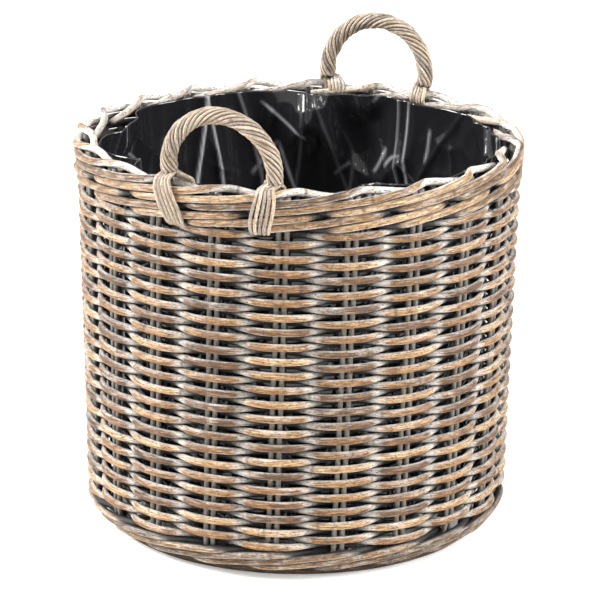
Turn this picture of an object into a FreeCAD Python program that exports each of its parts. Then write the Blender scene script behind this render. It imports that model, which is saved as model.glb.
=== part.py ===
import FreeCAD, Part
import math
import os
from FreeCAD import Placement, Rotation, Vector

# Round rattan log basket: a woven wall on upright stakes, rolled borders at rim and foot,
# a cross of sticks woven into a base, two handles of twisted strands and a polythene liner.
# Millimetres, +Z up, origin on the floor under the middle. The front handle stands on the -Y side.

# Driving sizes: name, value, what it is.
SIZES = [
    ("body_height", 436, "floor to the top of the rim"),
    ("foot_radius", 221.8, "circle of the stakes at the floor"),
    ("mouth_radius", 232.7, "circle of the stakes at the rim"),
    ("sticks_each_way", 5, "base sticks in each arm of the cross, which have the stake pairs at their ends"),
    ("stake_size", 6, "thickness of a stake"),
    ("stake_spacing", 8.5, "between the middles of the two stakes of a pair"),
    ("stake_lean", 2.9, "degrees that the stakes wind round the wall from floor to rim"),
    ("weaver_size", 7.8, "thickness of a weaving cane"),
    ("row_gap", 0.2, "least height between one row of the weave and the next"),
    ("foot_cane_size", 8.4, "thickness of a foot border cane"),
    ("foot_reach", 3, "stake pairs that a foot border cane passes"),
    ("foot_climb", 18.6, "climb of a foot border cane on the outside"),
    ("rim_cane_size", 8.4, "thickness of a rim border cane"),
    ("rim_reach", 2, "stake pairs that a rim border cane passes on the outside"),
    ("rim_depth", 41.6, "top of the rim down to the middle of the lowest border canes"),
    ("rim_tail", 9.5, "end of an upper border cane, below its roll over the rim"),
    ("hoop_width", 18, "foot hoop, from its outside to its inside"),
    ("hoop_height", 8.5, "foot hoop, floor to top"),
    ("hoop_overhang", 7, "foot hoop, outside the circle of the stakes"),
    ("stick_size", 8, "thickness of a base stick"),
    ("stick_spacing", 9, "between base sticks where they lie side by side"),
    ("cross_reach", 60, "middle of the base to where the sticks begin to fan out"),
    ("fan_radius", 100, "where the fanned sticks run straight out to the stake pairs"),
    ("base_rows", 9, "rows of cane in the base"),
    ("base_row_start", 112, "radius of the innermost base row"),
    ("base_row_pitch", 10.6, "between base rows"),
    ("binding_turns", 2, "turns of cane that tie the cross of base sticks"),
    ("binding_reach", 38, "middle of the base to the first turn"),
    ("liner_wall", 0.6, "thickness of the liner"),
    ("liner_drop", 8, "top of the rim down to the liner's edge"),
    ("handle_radius", 57, "middle of the grip, round the hand opening"),
    ("handle_rise", 19, "top of the rim up to the middle of the hand opening"),
    ("handle_wrap", 8, "degrees that the grip closes in below the middle of the opening"),
    ("handle_tilt", 6.7, "degrees that a handle leans outwards"),
    ("handle_shift", 9, "grip to one side of its feet, from the lay of the twist"),
    ("handle_place", 0.76, "feet of a handle from its middle, in stake pitches"),
    ("rod_size", 6, "thickness of the rod inside a grip"),
    ("strand_size", 6.3, "thickness of a strand round the rod"),
    ("strand_turns", 2, "turns that a strand makes along the grip"),
    ("strand_draw", 10, "strands outside the rim, drawn in towards the middle of the handle"),
    ("strand_drift", 18, "strands inside the rim, laid on to one side"),
    ("fit_gap", 0.3, "clearance between pieces that touch"),
]

doc = FreeCAD.newDocument("log_basket")
sheet = doc.addObject("Spreadsheet::Sheet", "Sizes")
for row, (alias, value, note) in enumerate(SIZES, 1):
    sheet.set(f"A{row}", note)
    sheet.set(f"B{row}", str(value))
    sheet.setAlias(f"B{row}", alias)
doc.recompute()


def size(alias):
    return float(sheet.get(alias))


def count(alias):
    return int(round(size(alias)))


# ---- places that several pieces share ------------------------------------------------------

PAIRS = 4 * count("sticks_each_way")
PITCH = 2 * math.pi / PAIRS
HEIGHT = size("body_height")
GAP = size("fit_gap")
STAKE_HALF = size("stake_size") / 2
WEAVER_HALF = size("weaver_size") / 2
FOOT_HALF = size("foot_cane_size") / 2
RIM_HALF = size("rim_cane_size") / 2
STICK_HALF = size("stick_size") / 2
STRAND_HALF = size("strand_size") / 2
UP = Vector(0, 0, 1)

# A border cane goes out between two stake pairs and back in between two others. It lies outside
# or inside the stakes from so many pitches before or after the middle of that space. At the rim
# it crosses more steeply, which leaves the handles' rods room to stand beside it.
FOOT_CROSSING = 0.4
RIM_CROSSING = 0.25
ROLL_CROSSING = 0.2
BORDER_RUNS = 3


def stake_circle(z):
    """Radius of the circle on which the stakes stand, at height z."""
    return size("foot_radius") + (size("mouth_radius") - size("foot_radius")) * z / HEIGHT


def turn(z):
    """How far the leaning stakes have wound round the wall at height z; nil at the rim."""
    return math.radians(size("stake_lean")) * (z / HEIGHT - 1)


def at(radius, angle, z):
    """A point from its radius, its angle from -Y towards +X, and its height."""
    return Vector(radius * math.sin(angle), -radius * math.cos(angle), z)


def bulge(run, z):
    """How far the middle of a straight run, so many pitches long, falls inside its ends' circle."""
    return stake_circle(z) * (1 - math.cos(run * PITCH / 2))


def border_offset(cane_half, reach, crossing, z):
    """From the stakes to the middle of a border cane, so that its straight runs clear the stakes."""
    return STAKE_HALF + GAP + cane_half + bulge((reach - 2 * crossing) / BORDER_RUNS, z)


# Heights, from the floor up.
FOOT_LOW = size("hoop_height") + GAP + FOOT_HALF
FOOT_HIGH = FOOT_LOW + size("foot_climb")
BASE_Z = FOOT_LOW + FOOT_HALF + GAP + STICK_HALF
ARM_STEP = STICK_HALF + GAP / 2
BINDING_STEP = ARM_STEP + STICK_HALF + GAP + WEAVER_HALF
LINER_FLOOR = BASE_Z + BINDING_STEP + WEAVER_HALF + GAP
WEAVE_START = FOOT_HIGH + FOOT_HALF + GAP + WEAVER_HALF
RIM_TOP = HEIGHT - RIM_HALF
RIM_LOW = HEIGHT - size("rim_depth")
RIM_STEP = size("rim_cane_size") + GAP
WEAVE_TOP = RIM_LOW - RIM_HALF - GAP
ROUNDS = int((WEAVE_TOP - WEAVE_START + WEAVER_HALF + size("row_gap")) / 2 / (size("weaver_size") + size("row_gap")))
ROW_PITCH = (WEAVE_TOP - WEAVER_HALF - WEAVE_START) / (2 * ROUNDS - 1)
STAKE_FOOT = size("hoop_height") + GAP
STAKE_TOP = RIM_TOP - RIM_HALF - GAP
LINER_TOP = HEIGHT - size("liner_drop")

# Distances from the stakes' circle.
FOOT_OUT = border_offset(FOOT_HALF, size("foot_reach"), FOOT_CROSSING, FOOT_LOW)
RIM_OUT = border_offset(RIM_HALF, size("rim_reach"), RIM_CROSSING, RIM_LOW)
RIM_FACE = RIM_OUT + RIM_HALF
LINER_INSET = RIM_FACE + bulge(2 * ROLL_CROSSING, HEIGHT) + GAP


def swing(passed_half, cane_half, passed_width, radius):
    """How far a zigzag cane's corner stands off its row's middle, to clear what it passes."""
    span = 2 * radius * math.sin(PITCH / 2)
    clear = passed_half + GAP + cane_half
    slope = math.atan(2 * clear / span)
    return clear / (math.cos(slope) * (1 - passed_width / span))


# ---- canes ---------------------------------------------------------------------------------

def cane(name, points, thickness):
    """One cane swept along straight runs between points, with mitred corners."""
    spine = doc.addObject("Part::Feature", name + "_path")
    spine.Shape = Part.makePolygon(points)
    section = doc.addObject("Part::RegularPolygon", name + "_section")
    section.Polygon = 4
    section.setExpression("Circumradius", f"Sizes.{thickness} / 2")
    along = (points[1] - points[0]).normalize()
    side = along.cross(UP)
    if side.Length < 0.1:
        side = along.cross(Vector(points[0].x, points[0].y, 0))
    side.normalize()
    section.Placement = Placement(points[0], Rotation(side, along.cross(side) * -1, along, "ZXY"))
    sweep = doc.addObject("Part::Sweep", name)
    sweep.Sections = [section]
    sweep.Spine = (spine, [])
    sweep.Solid = True
    sweep.Frenet = False
    sweep.Transition = "Right corner"
    return sweep


def closed_cane(name, corners, thickness):
    """A cane that meets its own start, half way along a run, so that every corner is mitred."""
    middle = (corners[-1] + corners[0]) * 0.5
    return cane(name, [middle] + corners + [middle], thickness)


def group(name, members):
    """One sub-part made of several separate solids."""
    whole = doc.addObject("Part::Compound", name)
    whole.Links = members
    whole.Label = name
    return whole


def around(name, members, copies):
    """The same canes again at each of a number of even steps round the basket."""
    doc.recompute()
    turned = []
    for step in range(copies):
        for member in members:
            shape = member.Shape.copy()
            shape.rotate(Vector(), UP, step * 360 / copies)
            turned.append(shape)
    ring = doc.addObject("Part::Feature", name)
    ring.Shape = Part.makeCompound(turned)
    ring.Label = name
    return ring


# ---- foot hoop: the flat ring of thick cane that the basket stands on --------------------------

def foot_hoop():
    outside = doc.addObject("Part::Prism", "hoop_outside")
    inside = doc.addObject("Part::Prism", "hoop_inside")
    outside.setExpression("Circumradius", "Sizes.foot_radius + Sizes.hoop_overhang")
    inside.setExpression("Circumradius", "Sizes.foot_radius + Sizes.hoop_overhang - Sizes.hoop_width")
    for prism in (outside, inside):
        prism.Polygon = 2 * PAIRS
        prism.setExpression("Height", "Sizes.hoop_height")
    ring = doc.addObject("Part::Cut", "foot_hoop")
    ring.Base = outside
    ring.Tool = inside
    ring.Label = "foot_hoop"
    return ring


# ---- base: a cross of sticks, bound in the middle and woven outside it --------------------------

def base_arm(name, quarter_turns, step):
    """The sticks of one arm of the cross: side by side in the middle, fanned out to the stake pairs."""
    spin = Rotation(UP, 90 * quarter_turns)
    radius = stake_circle(BASE_Z) - STAKE_HALF - GAP - STICK_HALF
    reach = size("cross_reach")
    number = count("sticks_each_way")
    sticks = []
    for index in range(number):
        place = index - (number - 1) / 2
        lane = place * size("stick_spacing")
        near = place * PITCH + turn(BASE_Z)
        far = math.pi - place * PITCH + turn(BASE_Z)
        points = [
            at(radius, near, BASE_Z),
            at(size("fan_radius"), near, BASE_Z),
            Vector(lane, -reach, BASE_Z + step),
            Vector(lane, reach, BASE_Z + step),
            at(size("fan_radius"), far, BASE_Z),
            at(radius, far, BASE_Z),
        ]
        sticks.append(cane(f"{name}_{index + 1}", [spin.multVec(point) for point in points], "stick_size"))
    return group(name, sticks)


def base_binding():
    """Turns that tie the cross: under the lower arm's sticks and over the upper arm's."""
    half = count("sticks_each_way") / 2 * size("stick_spacing")
    turns = []
    for index in range(count("binding_turns")):
        reach = size("binding_reach") + index * (size("weaver_size") + GAP)
        corners = []
        for quarter in range(4):
            spin = Rotation(UP, 90 * quarter)
            level = BASE_Z + (BINDING_STEP if quarter % 2 else -BINDING_STEP)
            corners.append(spin.multVec(Vector(-half, -reach, level)))
            corners.append(spin.multVec(Vector(half, -reach, level)))
        turns.append(closed_cane(f"base_binding_{index + 1}", corners, "weaver_size"))
    return group("base_binding", turns)


def base_weave():
    """Rows of cane that pass over one stick and under the next."""
    rows = []
    for index in range(count("base_rows")):
        radius = size("base_row_start") + index * size("base_row_pitch")
        lift = swing(STICK_HALF, WEAVER_HALF, 0, radius)
        corners = []
        for step in range(PAIRS):
            z = BASE_Z + (lift if (step + index) % 2 else -lift)
            corners.append(at(radius, step * PITCH + turn(BASE_Z), z))
        rows.append(closed_cane(f"base_row_{index + 1}", corners, "weaver_size"))
    return group("base_weave", rows)


# ---- wall: pairs of leaning stakes, and the woven rounds ----------------------------------------

def stakes():
    pair = []
    for name, side in (("stake_left", -1), ("stake_right", 1)):
        ends = []
        for z in (STAKE_FOOT, STAKE_TOP):
            radius = stake_circle(z)
            ends.append(at(radius, turn(z) + side * size("stake_spacing") / 2 / radius, z))
        pair.append(cane(name, ends, "stake_size"))
    return around("stakes", pair, PAIRS)


def weave_round(number):
    """Two canes: where one passes outside a stake pair, the other passes inside it."""
    canes = []
    for letter in "ab":
        row = 2 * number + "ab".index(letter)
        z = WEAVE_START + row * ROW_PITCH
        radius = stake_circle(z)
        out = swing(STAKE_HALF, WEAVER_HALF, size("stake_spacing"), radius)
        corners = []
        for step in range(PAIRS):
            side = 1 if (step + row) % 2 else -1
            corners.append(at(radius + side * out, step * PITCH + turn(z), z))
        canes.append(closed_cane(f"weaver_{number + 1:02d}{letter}", corners, "weaver_size"))
    return group(f"weave_round_{number + 1:02d}", canes)


# ---- borders: canes that climb along the outside and tuck in between the stakes ------------------

def border_cane(name, stations, shift, thickness):
    """A cane through stations: (pitches past the space where it comes out, out from stakes, height)."""
    points = []
    for along, out, z in stations:
        points.append(at(stake_circle(z) + out, shift + (along + 0.5) * PITCH, z))
    return cane(name, points, thickness)


def climb(reach, crossing, out, low, high):
    """Stations of the straight runs on the outside."""
    stations = []
    for step in range(BORDER_RUNS + 1):
        share = step / BORDER_RUNS
        stations.append((crossing + (reach - 2 * crossing) * share, out, low + (high - low) * share))
    return stations


def foot_border():
    reach = size("foot_reach")
    stations = [(-FOOT_CROSSING, -FOOT_OUT, FOOT_LOW)]
    stations += climb(reach, FOOT_CROSSING, FOOT_OUT, FOOT_LOW, FOOT_HIGH)
    stations += [(reach + FOOT_CROSSING, -FOOT_OUT, FOOT_HIGH)]
    foot_cane = border_cane("foot_cane", stations, turn(0), "foot_cane_size")
    return around("foot_border", [foot_cane], PAIRS)


def rim_border():
    """Two canes from each stake pair. Both climb by one cane's thickness to the next pair, so that four
    lie one above the other all round. The lower goes back in; the upper rolls over the rim."""
    reach = size("rim_reach")
    rise = (reach - 2 * RIM_CROSSING) * RIM_STEP
    canes = []
    for name, low in (("rim_cane_lower", RIM_LOW), ("rim_cane_upper", RIM_LOW + reach * RIM_STEP)):
        stations = [(-0.5, -RIM_OUT, low), (-RIM_CROSSING, -RIM_OUT, low)]
        stations += climb(reach, RIM_CROSSING, RIM_OUT, low, low + rise)
        if name == "rim_cane_lower":
            stations.append((reach + RIM_CROSSING, -RIM_OUT, low + reach * RIM_STEP - rise))
        else:
            over = reach + 0.5
            stations += [(over - ROLL_CROSSING, RIM_OUT, RIM_TOP), (over + ROLL_CROSSING, -RIM_OUT, RIM_TOP)]
            for part in (1, 2):
                level = RIM_TOP - size("rim_tail") * part / 2
                stations.append((over + ROLL_CROSSING * (1 + 2 * part), -RIM_OUT, level))
        canes.append(border_cane(name, stations, 0, "rim_cane_size"))
    return around("rim_border", canes, PAIRS)


# ---- liner: a thin polythene tub that hangs inside the wall and stands on the base ----------------

LINER_SIDES = 40


def tub_form(name, floor, inset):
    """The liner's outer or inner form: many-sided, and wider at the mouth than at the floor."""
    rings = []
    slope = "(Sizes.mouth_radius - Sizes.foot_radius) / Sizes.body_height"
    for level, z in (("low", f"{floor}"), ("high", "(Sizes.body_height - Sizes.liner_drop)")):
        ring = doc.addObject("Part::RegularPolygon", f"{name}_{level}")
        ring.Polygon = LINER_SIDES
        ring.setExpression("Circumradius", f"Sizes.foot_radius + {slope} * {z} - {inset}")
        ring.setExpression("Placement.Base.z", z)
        rings.append(ring)
    form = doc.addObject("Part::Loft", name)
    form.Sections = rings
    form.Solid = True
    form.Ruled = True
    return form


def liner():
    tub = doc.addObject("Part::Cut", "liner")
    tub.Base = tub_form("liner_outside", LINER_FLOOR, LINER_INSET)
    tub.Tool = tub_form("liner_inside", LINER_FLOOR + size("liner_wall"), LINER_INSET + size("liner_wall"))
    tub.Label = "liner"
    return tub


# ---- handles: a bent rod with strands twisted round it, their ends laid over the rim --------------

GRIP_RUNS = 16
OUTWARDS = 90       # degrees round the grip's middle line, where its left foot begins
STRAND_STEP = 60    # degrees between two strands


def grip_points(offset, start, shift):
    """Points along the grip from its left foot to its right, twisting round its middle line."""
    half = size("handle_radius") * math.cos(math.radians(size("handle_wrap")))
    out = math.sqrt(size("mouth_radius") ** 2 - half ** 2)
    plane = Placement(Vector(shift, -out, HEIGHT), Rotation(Vector(1, 0, 0), 90 + size("handle_tilt")))
    wrap = size("handle_wrap")
    points = []
    for step in range(GRIP_RUNS + 1):
        share = step / GRIP_RUNS
        bend = math.radians(180 + wrap - (180 + 2 * wrap) * share)
        twist = math.radians(start - 360 * size("strand_turns") * share)
        radius = size("handle_radius") + offset * math.cos(twist)
        across = radius * math.cos(bend)
        up = size("handle_rise") + radius * math.sin(bend)
        points.append(plane.multVec(Vector(across, up, offset * math.sin(twist))))
    return points


def rim_place(side, out, z, across=0):
    """A point by one foot of a handle: side -1 or 1, out from the stakes, height, and across from the foot."""
    radius = stake_circle(z)
    return at(radius + out, side * size("handle_place") * PITCH + across / radius, z)


def strand(name, start, lane, tail, shift):
    """One strand: up a tail on the left, along the grip, and down the same tail on the right.
    A tail's points are (out from the stakes, height, drawn in to the middle, laid to one side)."""
    sides = {}
    for side in (-1, 1):
        beside = lane * (size("strand_size") + GAP)
        sides[side] = [rim_place(side, out, z, side * (beside - draw) + drift) for out, z, draw, drift in tail]
    offset = size("rod_size") / 2 + GAP + STRAND_HALF
    return cane(name, sides[-1][::-1] + grip_points(offset, start, shift) + sides[1], "strand_size")


def handle(place, spin):
    """A handle's rod, its strands that end outside the rim and its strands that end inside."""
    side = 1 if spin == 0 else -1
    shift = side * size("handle_shift")
    drift = side * size("strand_drift")
    left, right = ([rim_place(foot, 0, z) for z in (WEAVE_TOP + GAP, HEIGHT)] for foot in (-1, 1))
    rod = cane(f"{place}_rod", left + grip_points(0, 0, shift) + right[::-1], "rod_size")
    over = RIM_FACE + GAP + STRAND_HALF
    lap = RIM_HALF + math.sqrt(2) * (GAP + STRAND_HALF)
    outer_tail = [(RIM_OUT, RIM_TOP + lap, 0, 0), (RIM_OUT + lap, RIM_TOP, 0, 0)]
    outer_tail += [(over, WEAVE_TOP, size("strand_draw"), 0)]
    inner_tail = [(-RIM_OUT, RIM_TOP + lap, 0, drift / 2), (-RIM_OUT - lap, RIM_TOP, 0, drift)]
    outer, inner = [], []
    for lane in (-1, 0, 1):
        outer.append(strand(f"{place}_outer_{lane + 2}", OUTWARDS - STRAND_STEP * lane, lane, outer_tail, shift))
        inner.append(strand(f"{place}_inner_{lane + 2}", STRAND_STEP * lane - OUTWARDS, lane, inner_tail, shift))
    made = []
    for name, members in (("rod", [rod]), ("outer_strands", outer), ("inner_strands", inner)):
        whole = group(f"{place}_handle_{name}", members)
        whole.Placement = Placement(Vector(), Rotation(UP, spin))
        made.append(whole)
    return made


# ---- the basket ----------------------------------------------------------------------------------

parts = [foot_hoop(), foot_border()]
parts += [base_arm("base_sticks_lower", 0, -ARM_STEP), base_arm("base_sticks_upper", 1, ARM_STEP)]
parts += [base_binding(), base_weave(), stakes()]
parts += [weave_round(number) for number in range(ROUNDS)]
parts += [rim_border(), liner()]
parts += handle("front", 0) + handle("back", 180)
doc.recompute()

for item in doc.Objects:
    if "Invalid" in item.State or "Error" in item.State:
        raise RuntimeError(f"{item.Name} could not be built: {item.State}")
for item in parts:
    if item.Shape.isNull() or not item.Shape.isValid():
        raise RuntimeError(f"{item.Label} has no valid shape")

os.makedirs("parts", exist_ok=True)
for item in parts:
    item.Shape.exportStep(f"parts/{item.Label}.step")
    box = item.Shape.BoundBox
    print(f"{item.Label:28s} {len(item.Shape.Solids):3d} solids, {item.Shape.Volume / 1000:9.2f} cm3,"
          f" z {box.ZMin:6.1f} to {box.ZMax:6.1f}, x {box.XMin:7.1f} to {box.XMax:7.1f}")
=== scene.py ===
import math

import bpy
import numpy as np
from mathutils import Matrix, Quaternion, Vector


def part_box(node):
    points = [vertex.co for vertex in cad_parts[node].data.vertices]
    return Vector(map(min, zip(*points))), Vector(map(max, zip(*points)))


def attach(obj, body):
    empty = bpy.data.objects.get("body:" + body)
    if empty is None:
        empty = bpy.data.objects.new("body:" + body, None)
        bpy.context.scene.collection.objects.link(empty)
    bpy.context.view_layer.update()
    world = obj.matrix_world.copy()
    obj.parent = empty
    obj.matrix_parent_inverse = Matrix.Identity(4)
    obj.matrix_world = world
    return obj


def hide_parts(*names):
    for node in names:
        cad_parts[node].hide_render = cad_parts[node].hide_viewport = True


# Woven rattan log basket: canes, borders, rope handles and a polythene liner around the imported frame.
# Metres and radians throughout, unless a note says millimetres.

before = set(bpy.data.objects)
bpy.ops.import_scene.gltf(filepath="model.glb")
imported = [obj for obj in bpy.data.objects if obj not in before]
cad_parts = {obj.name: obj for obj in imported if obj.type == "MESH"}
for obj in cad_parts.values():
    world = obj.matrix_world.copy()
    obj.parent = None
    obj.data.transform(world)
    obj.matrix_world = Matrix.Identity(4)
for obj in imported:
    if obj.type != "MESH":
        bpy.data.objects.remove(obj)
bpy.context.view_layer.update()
mm = 0.001


# what the canes share: the frame gives the heights, these give the canes
basket = {
    "pairs": 20,                # pairs of upright stakes
    "leanDegrees": 2.9,         # the stakes wind this far from foot to rim
    "weaveReach": 12.3 * mm,    # stakes' circle to the outside of the weave
    "footDraw": 18.0 * mm,      # the circle draws in this far behind the foot border
    "footCurve": 1.15,          # above 1 it starts gently
    "openFrom": 5.0 * mm,       # outside this reach from the stakes' circle a cane has no painted shade and is rubbed
    "darkFrom": -1.2 * mm,      # and inside this one it is fully darkened with painted shade
}

# what each cane has, whatever it is used for
caneLook = {
    "jointSpacing": 0.285,
    "jointLength": 0.0042,      # half the length of the swelling at a joint
    "jointSwell": 0.085,        # shares of the radius: the swelling at a joint,
    "swell": 0.035,             # and the slow change in thickness,
    "swellWave": 0.09,          # in waves this long
    "rubbedWidth": 1.5,         # more rubs a cane further round from its outward side
    "rubbedEdge": 0.15,
    "grainRadius": 0.004,       # the grain is laid out round a cane of this radius
    "grainRange": 5,            # and each cane takes its own place in this much of it
}

pitch = 2 * math.pi / basket["pairs"]
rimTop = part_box("rim_border")[1].z
lowRound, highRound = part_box("weave_round_01"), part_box("weave_round_22")
lowZ, highZ = (lowRound[0].z + lowRound[1].z) / 2, (highRound[0].z + highRound[1].z) / 2
lowRadius = lowRound[1].x - basket["weaveReach"]
highRadius = highRound[1].x - basket["weaveReach"]
footLow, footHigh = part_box("foot_border")[0].z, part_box("foot_border")[1].z


# radius of the stakes' circle at a height
def stakeCircle(z):
    z = np.asarray(z, float)
    straight = lowRadius + (highRadius - lowRadius) * (z - lowZ) / (highZ - lowZ)
    drawn = np.clip((footHigh - z) / (footHigh - footLow), 0, 1.2)      # a little below the border too
    return straight - basket["footDraw"] * drawn ** basket["footCurve"]


# how far the stakes have wound round at a height, none at the rim
def lean(z):
    return math.radians(basket["leanDegrees"]) * (np.asarray(z) / rimTop - 1)


# points from distance to the basket's axis, angle from -Y towards +X, and height
def onRing(radius, angle, z):
    radius, angle, z = np.broadcast_arrays(np.asarray(radius, float), angle, z)
    return np.stack([radius * np.sin(angle), -radius * np.cos(angle), z], axis=-1)


# the same, from distance outside the stakes' circle
def onWall(out, angle, z):
    return onRing(stakeCircle(z) + out, angle, z)


def outwardAt(angle):
    return onRing(1.0, angle, 0.0)


# how far points lie outside the stakes' circle
def reachOf(points):
    return np.hypot(points[:, 0], points[:, 1]) - stakeCircle(points[:, 2])


# the amount of painted shade: from 0 where a piece's canes lie open to the light to 1 deep between them
def paintedShadeAmount(points, look):
    return np.clip((look["openFrom"] - reachOf(points)) / (look["openFrom"] - look["darkFrom"]), 0, 1)


# painted shade between the canes of the wall
def paintedShadeInWall(verts):
    return paintedShadeAmount(verts, basket)


# vectors of length one
def unit(v):
    return v / np.maximum(np.linalg.norm(v, axis=-1, keepdims=True), 1e-12)


# a smooth run through given points, resampled at an even step
def smoothPath(points, step, perSpan=12):
    p = np.asarray(points, float)
    p = np.vstack([2 * p[0] - p[1], p, 2 * p[-1] - p[-2]])
    t = np.linspace(0, 1, perSpan, endpoint=False)[:, None]
    runs = []
    for a, b, c, d in zip(p, p[1:], p[2:], p[3:]):
        square, cube = 2 * a - 5 * b + 4 * c - d, 3 * b - a - 3 * c + d
        runs.append(0.5 * (2 * b + (c - a) * t + square * t**2 + cube * t**3))
    run = np.vstack(runs + [p[-2:-1]])
    along = np.concatenate([[0], np.cumsum(np.linalg.norm(np.diff(run, axis=0), axis=1))])
    even = np.linspace(0, along[-1], max(4, int(along[-1] / step)))
    return np.stack([np.interp(even, along, run[:, k]) for k in range(3)], axis=-1)


# a slow random wobble along x, of up to size either way, in three waves of which the longest is wave
def wander(rng, x, wave, size):
    total = np.zeros_like(x)
    for part in (1.0, 0.57, 0.31):
        total += part * np.sin(2 * np.pi * (x / (wave * part) + rng.random()))
    return total * size / 1.9


# gathers many canes into one mesh, with the attributes that the rattan materials read
class Canes:
    def __init__(self):
        self.verts, self.faces, self.grain, self.tone, self.wear, self.deep = [], [], [], [], [], []
        self.count = 0

    # outward is where a cane's rubbed side faces, worn how far it is rubbed, flat its height to width,
    # deep the function that gives its points painted shade, and knot the swelling at its joints
    def add(self, rng, path, radius, outward, worn, sides=10, closed=False, flat=1.0, deep=None,
            knot=caneLook["jointSwell"]):
        n = len(path)
        if closed:
            ahead, back = np.roll(path, -1, axis=0), np.roll(path, 1, axis=0)
        else:
            ahead = np.vstack([path[1:], 2 * path[-1] - path[-2]])
            back = np.vstack([2 * path[0] - path[1], path[:-1]])
        tangent = unit(ahead - back)
        outward = np.broadcast_to(outward, path.shape)
        side = unit(outward - tangent * np.sum(outward * tangent, axis=1, keepdims=True))
        top = np.cross(tangent, side)
        steps = np.linalg.norm(path - back, axis=1)
        if not closed:
            steps[0] = 0
        along = np.cumsum(steps)

        # how thick the cane is along its length
        offset = rng.random(3) * caneLook["grainRange"]
        spacing = caneLook["jointSpacing"]
        toJoint = np.abs(((along + offset[0]) / spacing) % 1 - 0.5) * spacing
        swell = 1 + wander(rng, along, caneLook["swellWave"], caneLook["swell"])
        swell = swell + knot * np.exp(-(toJoint / caneLook["jointLength"]) ** 2)
        rings = np.broadcast_to(radius, n) * swell

        turn = np.arange(sides) * 2 * math.pi / sides
        cosine, sine = np.cos(turn), np.sin(turn)
        spread = side[:, None] * cosine[None, :, None] + flat * top[:, None] * sine[None, :, None]
        verts = path[:, None] + spread * rings[:, None, None]
        facing = np.clip(caneLook["rubbedWidth"] * cosine - caneLook["rubbedEdge"], 0, 1)
        facing = facing[None, :] * np.broadcast_to(worn, n)[:, None]
        grain = np.stack(np.broadcast_arrays(
            (along + offset[0])[:, None],
            (caneLook["grainRadius"] * cosine + offset[1])[None, :],
            (caneLook["grainRadius"] * sine + offset[2])[None, :],
        ), axis=-1)

        index = self.count + np.arange(n * sides).reshape(n, sides)
        nextRing = np.roll(index, -1, axis=0) if closed else index[1:]
        ring = index if closed else index[:-1]
        quads = np.stack([ring, np.roll(ring, -1, 1), np.roll(nextRing, -1, 1), nextRing], axis=-1)
        self.faces += quads.reshape(-1, 4).tolist()
        if not closed:
            self.faces += [index[0][::-1].tolist(), index[-1].tolist()]
        self.verts.append(verts.reshape(-1, 3))
        self.grain.append(grain.reshape(-1, 3))
        self.wear.append(facing.reshape(-1))
        self.tone.append(np.full(n * sides, rng.random()))
        self.deep.append(np.zeros(n * sides) if deep is None else deep(verts.reshape(-1, 3)))
        self.count += n * sides

    def build(self, name, material, nodes, slot):
        mesh = bpy.data.meshes.new(name)
        mesh.from_pydata(np.vstack(self.verts).tolist(), [], self.faces)
        for title, kind, values, field in (
            ("caneGrain", "FLOAT_VECTOR", np.vstack(self.grain), "vector"),
            ("caneTone", "FLOAT", np.concatenate(self.tone), "value"),
            ("caneWear", "FLOAT", np.concatenate(self.wear), "value"),
            ("canePaintedShade", "FLOAT", np.concatenate(self.deep), "value"),
        ):
            layer = mesh.attributes.new(title, kind, "POINT")
            layer.data.foreach_set(field, values.astype(np.float32).ravel())
        mesh.polygons.foreach_set("use_smooth", [True] * len(mesh.polygons))
        mesh.update()
        return finishPiece(name, mesh, material, nodes)


# the basket has one body, root, and each piece stands for the frame's nodes that it replaces
def finishPiece(name, mesh, material, nodes):
    piece = bpy.data.objects.new(name, mesh)
    bpy.context.scene.collection.objects.link(piece)
    mesh.materials.append(material)
    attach(piece, "root")
    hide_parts(*nodes)
    return piece


# a colour's sRGB hex value as linear red, green, blue and alpha
def linear(hexColour):
    parts = [int(hexColour[i:i + 2], 16) / 255 for i in (1, 3, 5)]
    return tuple(c / 12.92 if c <= 0.04045 else ((c + 0.055) / 1.055) ** 2.4 for c in parts) + (1.0,)


# adds a node: settings are sockets, by name or number, or else properties, and links are sockets' sources
def addNode(tree, kind, settings=None, links=None):
    node = tree.nodes.new(kind)
    for key, value in (settings or {}).items():
        if isinstance(key, int) or key in node.inputs:
            node.inputs[key].default_value = value
        else:
            setattr(node, key, value)
    for key, source in (links or {}).items():
        tree.links.new(source, node.inputs[key])
    return node


def newMaterial(name):
    material = bpy.data.materials.new(name)
    material.use_nodes = True
    return material, material.node_tree, material.node_tree.nodes["Principled BSDF"]


def setRamp(ramp, stops):
    elements = ramp.color_ramp.elements
    while len(elements) < len(stops):
        elements.new(0.5)
    for element, (place, colour) in zip(elements, stops):
        element.position = place
        element.color = linear(colour)
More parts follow.
